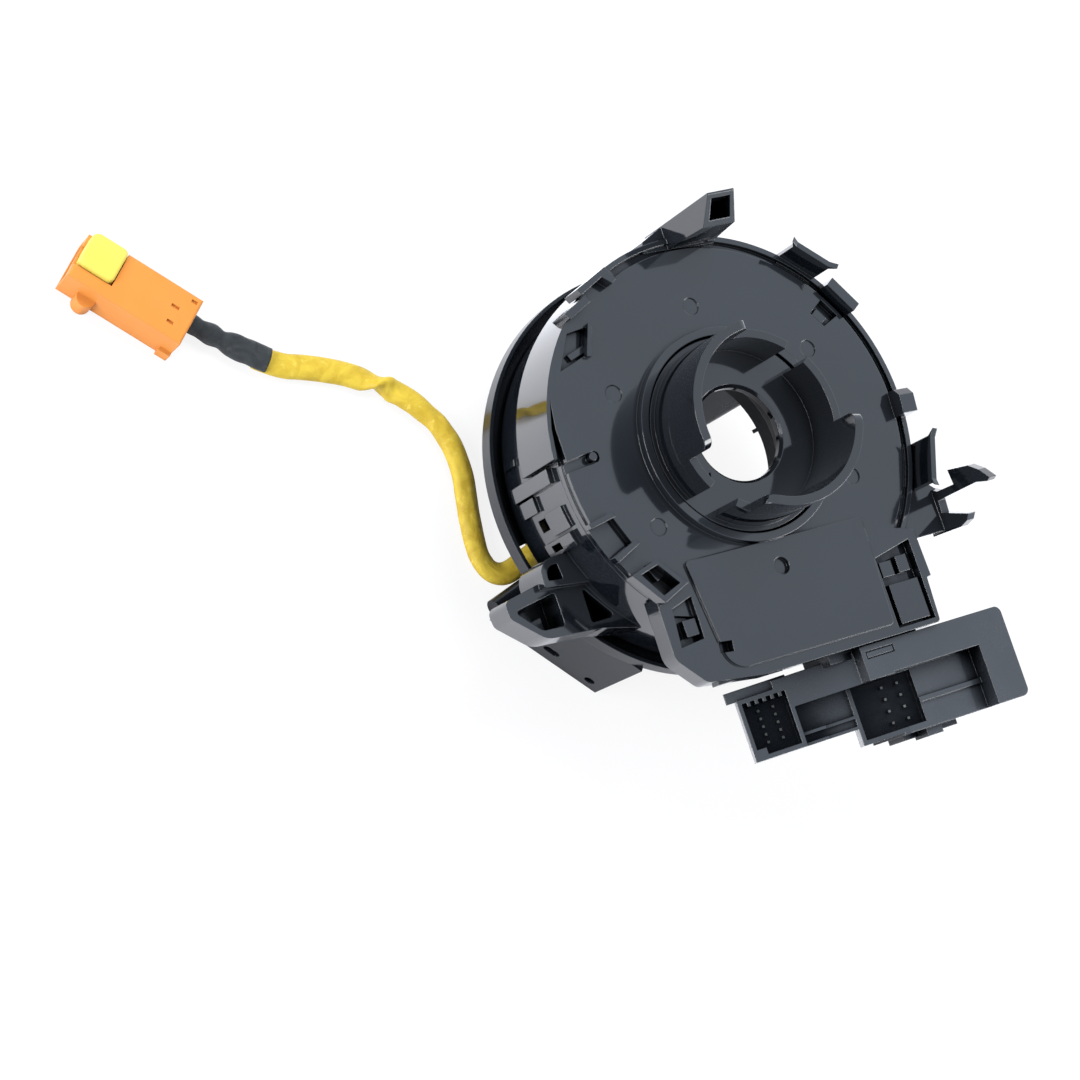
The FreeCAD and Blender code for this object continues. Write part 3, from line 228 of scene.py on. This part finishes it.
def film(name, dark, light, rough, stripes=0.0):
    """Laminated film. stripes is the scale of the rings that show the edges of its turns, or 0 for none."""
    m = Nodes(name)
    m.join(m.tint(m.noise(FILM_FLOW), dark, light), "Base Color")
    m.join(m.spread(m.noise(FILM_PATCHES), *rough), "Roughness")
    layers = [(m.noise(FILM_GRAIN, 1.0), 0.1, 0.00005)]
    if stripes:
        values = {"Vector": m.place, "Scale": stripes, "Distortion": 0.4}
        turns = m.add("ShaderNodeTexWave", values, wave_type="RINGS", rings_direction="Z")
        layers.insert(0, (turns.outputs["Fac"], 0.5, 0.0002))
    m.relief(*layers)
    return m.material


def vinyl(name, dark, light, painted_highlight, rough, crease):
    """Soft tube over wires: creased, darker in the hollows of its folds and lighter on their ridges, as
    painted shade and light, with paler patches of painted highlight.
    """
    m = Nodes(name)
    folds = m.noise(VINYL_FOLDS, 4.0, 0.6, 1.2)
    # Patches of painted highlight, from a noise of their own
    highlight_patches = m.spread(m.noise(VINYL_HIGHLIGHTS, 3.0, 0.6), 0.0, 1.0, 0.60, 0.74)
    # Painted shade: the colour is darker in the hollows of the folds and lighter on their ridges, under the
    # painted highlight patches
    m.join(m.blend(highlight_patches, m.tint(folds, dark, light, 0.35, 0.62), painted_highlight), "Base Color")
    m.join(m.spread(folds, *rough), "Roughness")
    m.join(0.02, "Subsurface Weight")
    m.join(0.003, "Subsurface Scale")
    m.join(0.2, "Specular IOR Level")
    m.relief((folds, crease, 0.0012), (m.noise(VINYL_GRAIN, 3.0), 0.2, 0.0001))
    return m.material


housing_black = moulded(
    "housing_plastic", (0.0045, 0.0060, 0.0085), (0.0065, 0.0085, 0.0115), rough=(0.07, 0.13), grain=0.02,
    gloss=0.8, hollow=0.008)
rotor_black = moulded(
    "rotor_plastic", (0.004, 0.005, 0.007), (0.006, 0.0075, 0.010), rough=(0.06, 0.10), grain=0.0,
    gloss=0.7, hollow=0.008)
satin_black = moulded(
    "satin_plastic", (0.006, 0.0075, 0.0105), (0.008, 0.010, 0.0135), rough=(0.20, 0.28), grain=0.15,
    gloss=0.15, shine=0.3, hollow=0.008)
block_black = moulded(
    "block_plastic", (0.016, 0.019, 0.024), (0.021, 0.025, 0.031), rough=(0.22, 0.32), grain=0.25,
    gloss=0.55, hollow=0.016, pocket=(0.40, 0.72))
orange = moulded(
    "plug_plastic", (0.56, 0.205, 0.040), (0.62, 0.240, 0.052), rough=(0.42, 0.52), grain=0.2, shine=0.2)
yellow = moulded(
    "lock_plastic", (0.58, 0.48, 0.082), (0.62, 0.53, 0.100), rough=(0.42, 0.52), grain=0.2, shine=0.2)
natural = moulded(
    "natural_plastic", (0.60, 0.59, 0.54), (0.68, 0.67, 0.62), rough=(0.3, 0.42), grain=0.2, edge=0.0002)
tin = metal("tinned_contact", (0.34, 0.33, 0.30), depth=0.012)
slip = film("slip_film", (0.010, 0.011, 0.013), (0.016, 0.018, 0.020), rough=(0.25, 0.4))
ribbon = film("flat_cable", (0.20, 0.15, 0.07), (0.27, 0.21, 0.10), rough=(0.2, 0.35), stripes=260.0)
lead_vinyl = vinyl(
    "lead_vinyl", (0.47, 0.325, 0.032), (0.58, 0.43, 0.050), painted_highlight=(0.63, 0.49, 0.085),
    rough=(0.42, 0.58), crease=0.35)
sleeve_vinyl = vinyl(
    "sleeve_vinyl", (0.020, 0.023, 0.025), (0.032, 0.036, 0.039), painted_highlight=(0.045, 0.049, 0.052),
    rough=(0.4, 0.55), crease=0.3)

FINISH = {
    "stator_plate": housing_black, "drum_case": housing_black,
    "rotor_disc": satin_black, "rotor_sleeve": rotor_black, "front_box": satin_black,
    "connector_block": block_black, "front_connector": block_black, "lead_outlet": block_black,
    "stator_terminal_block": block_black, "rotor_terminal_block": block_black,
    "socket_pins_small": tin, "socket_pins_large": tin, "front_connector_pins": tin, "plug_terminals": tin,
    "rear_slip_sheet": slip, "front_slip_sheet": slip,
    "ribbon_inner_coil": ribbon, "ribbon_outer_coil": ribbon, "ribbon_turn": ribbon,
    "roller_carrier": natural, "roller_1": natural, "roller_2": natural, "roller_3": natural,
    "roller_4": natural,
    "airbag_lead": lead_vinyl, "lead_sleeve": sleeve_vinyl, "airbag_plug": orange, "plug_lock": yellow,
}
for name, node in nodes.items():
    node.data.materials.clear()
    node.data.materials.append(FINISH[name])


# Tubes: a path over the floor, with a section that changes along it
TUBE_SIDES = 40
CLEAR_OF_FLOOR = 0.00002
UP = Vector((0, 0, 1))


def path_length(path):
    return sum((b - a).length for a, b in zip(path, path[1:]))


def smooth_route(points):
    """Points along the smooth curve that a route's points control."""
    data = bpy.data.curves.new("route", "CURVE")
    data.dimensions = "3D"
    data.resolution_u = 14
    spline = data.splines.new("NURBS")
    spline.points.add(len(points) - 1)
    for control, point in zip(spline.points, points):
        control.co = (*point, 1.0)
    spline.order_u = 3
    spline.use_endpoint_u = True
    curve = bpy.data.objects.new("route", data)
    bpy.context.collection.objects.link(curve)
    bpy.context.view_layer.update()
    line = bpy.data.meshes.new_from_object(curve.evaluated_get(bpy.context.evaluated_depsgraph_get()))
    found = [corner.co.copy() for corner in line.vertices]
    bpy.data.meshes.remove(line)
    bpy.data.objects.remove(curve)
    bpy.data.curves.remove(data)
    return found


def fine(path, steps):
    """More points along a path, for the fine relief of a tube."""
    found = []
    for a, b in zip(path, path[1:]):
        found += [a.lerp(b, step / steps) for step in range(steps)]
    return found + [path[-1]]


def ring_spots(path, index, radii):
    """The spots of one ring of a tube, square to the path, one for each (angle, radius)."""
    before = path[max(index - 1, 0)]
    after = path[min(index + 1, len(path) - 1)]
    way = (after - before).normalized()
    across = way.cross(UP).normalized()
    up = across.cross(way)
    spots = []
    for angle, radius in radii:
        spots.append(path[index] + (across * math.cos(angle) + up * math.sin(angle)) * radius)
    return spots


def settle(spots, share):
    """Lower a ring by a share of its gap over the floor, and flatten what would sink in."""
    drop = max(0.0, min(spot.z for spot in spots) - FLOOR) * share
    for spot in spots:
        spot.z = max(spot.z - drop, FLOOR + CLEAR_OF_FLOOR)


def loft_tube(name, path, section, material, body, rest=1.0):
    """A tube along a path near the floor, each ring lowered by the share rest of its gap over the floor.

    section(distance, share, angle) gives the radius, from the distance and the share of the way along.
    """
    mesh = bmesh.new()
    angles = [2 * math.pi * side / TUBE_SIDES for side in range(TUBE_SIDES)]
    total = path_length(path)
    distance = 0.0
    rings = []
    for index, point in enumerate(path):
        if index:
            distance += (point - path[index - 1]).length
        radii = [(angle, section(distance, distance / total, angle)) for angle in angles]
        spots = ring_spots(path, index, radii)
        settle(spots, rest)
        rings.append([mesh.verts.new(spot) for spot in spots])
    for first, second in zip(rings, rings[1:]):
        for side in range(TUBE_SIDES):
            beside = (side + 1) % TUBE_SIDES
            mesh.faces.new((first[side], first[beside], second[beside], second[side]))
    mesh.faces.new(rings[0][::-1])
    mesh.faces.new(rings[-1])
    bmesh.ops.recalc_face_normals(mesh, faces=mesh.faces)
    data = bpy.data.meshes.new(name)
    mesh.to_mesh(data)
    mesh.free()
    for face in data.polygons:
        face.use_smooth = len(face.vertices) == 4
    data.materials.append(material)
    piece = bpy.data.objects.new(name, data)
    bpy.context.collection.objects.link(piece)
    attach(piece, body)
    return piece


def polar(radius, degrees):
    angle = math.radians(degrees)
    return Vector((radius * math.cos(angle), radius * math.sin(angle), 0.0))


def squashed(half_width, half_height, turn, angle):
    """Radius at an angle of a flattened tube whose wide side is turned by turn."""
    along = math.cos(angle - turn)
    over = math.sin(angle - turn)
    return half_width * half_height / math.hypot(half_height * along, half_width * over)


def ease(value, start, stop):
    """0 up to start, 1 from stop on, with a smooth rise between them."""
    t = min(max((value - start) / (stop - start), 0.0), 1.0)
    return t * t * (3.0 - 2.0 * t)


def near(value, middle, reach):
    """1 at the middle, and fading to both sides within about reach."""
    return math.exp(-((value - middle) / reach) ** 2)


# Route of the airbag lead and its sleeve, as in the part's source: from the outlet post to the plug's rear
LEAD_DIAMETER = 0.0052
SLEEVE_DIAMETER = 0.0066
LEAD_Z = FLOOR + LEAD_DIAMETER / 2
SLEEVE_Z = FLOOR + SLEEVE_DIAMETER / 2
PLUG_DEGREES = 135.0
LEAD_DEGREES = 146.0
LEAD_ROUTE_MM = (
    (-32.8, -8.1), (-37.6, -9.7), (-43.2, -11.9), (-47.0, -10.9), (-49.4, -7.8), (-49.6, -1.4), (-48.0, 8.7),
    (-46.0, 18.6), (-47.2, 28.6), (-52.2, 37.6), (-60.6, 45.2), (-71.2, 50.9), (-79.9, 54.1))
PLUG_REAR = (-0.1114, 0.0697)
WIRES_OFF_CENTRE = 0.0034
SLEEVE_NECK = 0.008
BENDS_APART = 0.0185
LEAD_PAST_BEND = 0.0068
SLEEVE_OVERLAP = 0.0035

plug_side = Vector((1.0, 1.0, 0.0)).normalized()
sleeve_end = Vector((*PLUG_REAR, SLEEVE_Z)) + plug_side * WIRES_OFF_CENTRE
sleeve_bend = sleeve_end - polar(SLEEVE_NECK, PLUG_DEGREES)
lead_bend = sleeve_bend - polar(BENDS_APART, LEAD_DEGREES)
lead_end = lead_bend + polar(LEAD_PAST_BEND, LEAD_DEGREES)
sleeve_start = lead_end - polar(SLEEVE_OVERLAP, LEAD_DEGREES)
lead_route = [Vector((x / MM_PER_METRE, y / MM_PER_METRE, LEAD_Z)) for x, y in LEAD_ROUTE_MM]
lead_route += [lead_bend, lead_end]
lead_path = smooth_route(lead_route)
sleeve_path = smooth_route([sleeve_start, sleeve_bend, sleeve_end])

# Section of the lead. A stretch is from and to, in mm along it, and a crease its place, reach and share of
# depth. SWAY and WRINKLE are the mm in which its folds sway, and its creases run round, by one radian
LEAD_HALF_WIDTH = 0.00305
LEAD_HALF_HEIGHT = 0.00225
LEAD_FLATTENING = 0.00040
LEAD_FLAT_STRETCH = (45.0, 86.0)
LEAD_TURN_STRETCH = (71.0, 84.0)
LEAD_CREASES = ((77.0, 5.0, 1.0), (60.0, 5.0, 1.0), (19.0, 4.0, 0.5))
LONG_FOLD_DEPTH = 0.050
CROSS_FOLD_DEPTH = 0.030
CREASE_DEPTH = 0.11
SWAY = 13.0
WRINKLE = 3.2

# Section of the sleeve. A stretch is from and to, as shares of it, and a knot its place, reach and swelling.
# SPIRAL is the mm along it in which its folds turn by one radian
SLEEVE_HALF_WIDTH = 0.00350
SLEEVE_HALF_HEIGHT = 0.00245
SLEEVE_NARROWING = 0.00085
SLEEVE_ROUNDING = 0.00005
SLEEVE_NARROW_STRETCH = (0.30, 0.66)
SLEEVE_KNOTS = ((0.72, 0.07, 0.10), (0.58, 0.05, -0.10), (0.86, 0.05, -0.07))
SLEEVE_FOLD_DEPTH = 0.05
SLEEVE_TWIST = 0.9
SPIRAL = 9.0


def folds(angle, run, winding, length, shift=0.0):
    """Irregular folds, from -1 to 1: more round the tube with winding, and one in length mm along it."""
    round_x = winding * math.cos(angle) + shift
    round_y = winding * math.sin(angle)
    return noise.noise(Vector((round_x, round_y, run / length)))


def lead_section(distance, share, angle):
    """Vinyl tube round a pair of wires: it lies flat towards its sleeve, turns over once and creases."""
    run = distance * MM_PER_METRE
    flat = LEAD_FLATTENING * ease(run, *LEAD_FLAT_STRETCH)
    turn = math.pi * ease(run, *LEAD_TURN_STRETCH)
    radius = squashed(LEAD_HALF_WIDTH + flat, LEAD_HALF_HEIGHT - flat, turn, angle)
    long_fold = folds(angle + 0.5 * math.sin(run / SWAY), run, 1.5, 14.0)
    cross_fold = folds(angle, run, 1.8, 4.5, shift=7.0)
    pinched = sum(part * near(run, place, reach) for place, reach, part in LEAD_CREASES)
    crease = abs(math.sin(1.5 * angle + run / WRINKLE)) * pinched
    relief = LONG_FOLD_DEPTH * long_fold + CROSS_FOLD_DEPTH * cross_fold
    return radius * (1.0 + relief - CREASE_DEPTH * crease)


def sleeve_section(distance, share, angle):
    """Shrunk tube: flat and full over the lead, pinched over the wires, with a slow twist and blunt folds."""
    run = distance * MM_PER_METRE
    narrow = ease(share, *SLEEVE_NARROW_STRETCH)
    half_width = SLEEVE_HALF_WIDTH - SLEEVE_NARROWING * narrow
    half_height = SLEEVE_HALF_HEIGHT + SLEEVE_ROUNDING * narrow
    radius = squashed(half_width, half_height, SLEEVE_TWIST * narrow, angle)
    knot = sum(swelling * near(share, place, reach) for place, reach, swelling in SLEEVE_KNOTS)
    return radius * (1.0 + knot + SLEEVE_FOLD_DEPTH * folds(angle + run / SPIRAL, run, 1.6, 3.5))


lead = loft_tube("airbag_lead_skin", fine(lead_path, 2), lead_section, lead_vinyl, "rotor")
sleeve = loft_tube(
    "lead_sleeve_skin", fine(sleeve_path, 3), sleeve_section, sleeve_vinyl, "rotor", rest=0.5)
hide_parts("airbag_lead")
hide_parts("lead_sleeve")


# Floor: white paper that takes a faint shadow
FLOOR_WIDTH = 8.0
FLOOR_GAP = 0.0001
GLOW_SHARE = 0.85


def paper():
    """Pale paper that glows for the camera, so that only part of a shadow shows."""
    material = bpy.data.materials.new("paper")
    material.use_nodes = True
    tree = material.node_tree
    tree.nodes.clear()
    out = tree.nodes.new("ShaderNodeOutputMaterial")
    diffuse = tree.nodes.new("ShaderNodeBsdfDiffuse")
    diffuse.inputs["Color"].default_value = (0.87, 0.88, 0.93, 1.0)
    glow = tree.nodes.new("ShaderNodeEmission")
    glow.inputs["Color"].default_value = (1.0, 1.0, 1.0, 1.0)
    rays = tree.nodes.new("ShaderNodeLightPath")
    share = tree.nodes.new("ShaderNodeMath")
    share.operation = "MULTIPLY"
    share.inputs[1].default_value = GLOW_SHARE
    mix = tree.nodes.new("ShaderNodeMixShader")
    tree.links.new(rays.outputs["Is Camera Ray"], share.inputs[0])
    tree.links.new(share.outputs[0], mix.inputs[0])
    tree.links.new(diffuse.outputs[0], mix.inputs[1])
    tree.links.new(glow.outputs[0], mix.inputs[2])
    tree.links.new(mix.outputs[0], out.inputs["Surface"])
    return material


def add_floor():
    half = FLOOR_WIDTH / 2
    level = FLOOR - FLOOR_GAP
    data = bpy.data.meshes.new("floor")
    data.from_pydata(
        [(-half, -half, level), (half, -half, level), (half, half, level), (-half, half, level)], [],
        [(0, 1, 2, 3)])
    data.materials.append(paper())
    sheet = bpy.data.objects.new("floor", data)
    bpy.context.collection.objects.link(sheet)
    return sheet


floor = add_floor()

# Light: an even sky, brighter and bluer in reflections, and three soft boxes
SKY_COLOUR = (0.94, 0.97, 1.0, 1.0)
SKY_STRENGTH = 0.55
MIRRORED_COLOUR = (0.78, 0.87, 1.0, 1.0)
MIRRORED_STRENGTH = 1.22


def add_sky():
    world = bpy.data.worlds.new("world")
    bpy.context.scene.world = world
    world.use_nodes = True
    tree = world.node_tree
    background = tree.nodes["Background"]
    mirrored = tree.nodes.new("ShaderNodeLightPath").outputs["Is Glossy Ray"]
    colour = tree.nodes.new("ShaderNodeValToRGB")
    colour.color_ramp.elements[0].color = SKY_COLOUR
    colour.color_ramp.elements[1].color = MIRRORED_COLOUR
    strength = tree.nodes.new("ShaderNodeMapRange")
    strength.inputs["To Min"].default_value = SKY_STRENGTH
    strength.inputs["To Max"].default_value = MIRRORED_STRENGTH
    tree.links.new(mirrored, colour.inputs["Fac"])
    tree.links.new(mirrored, strength.inputs["Value"])
    tree.links.new(colour.outputs["Color"], background.inputs["Color"])
    tree.links.new(strength.outputs["Result"], background.inputs["Strength"])


def softbox(name, place, aim, width, height, power, mirrored=True):
    """A rectangular lamp at a place that looks at aim. Only a mirrored one shows in glossy faces."""
    data = bpy.data.lights.new(name, "AREA")
    data.shape = "RECTANGLE"
    data.size = width
    data.size_y = height
    data.energy = power
    lamp = bpy.data.objects.new(name, data)
    bpy.context.collection.objects.link(lamp)
    lamp.visible_glossy = mirrored
    lamp.location = place
    lamp.rotation_euler = (Vector(aim) - Vector(place)).to_track_quat("-Z", "Y").to_euler()


add_sky()
softbox("left_box", place=(-0.75, 0.10, 0.28), aim=(-0.02, 0.0, -0.02), width=0.55, height=0.40, power=7.0)
softbox(
    "top_box", place=(0.25, 0.45, 0.85), aim=(0.0, 0.0, 0.0), width=0.6, height=0.6, power=11.0,
    mirrored=False)
softbox("right_box", place=(0.70, -0.45, 0.45), aim=(0.0, 0.0, 0.0), width=0.5, height=0.5, power=6.0)
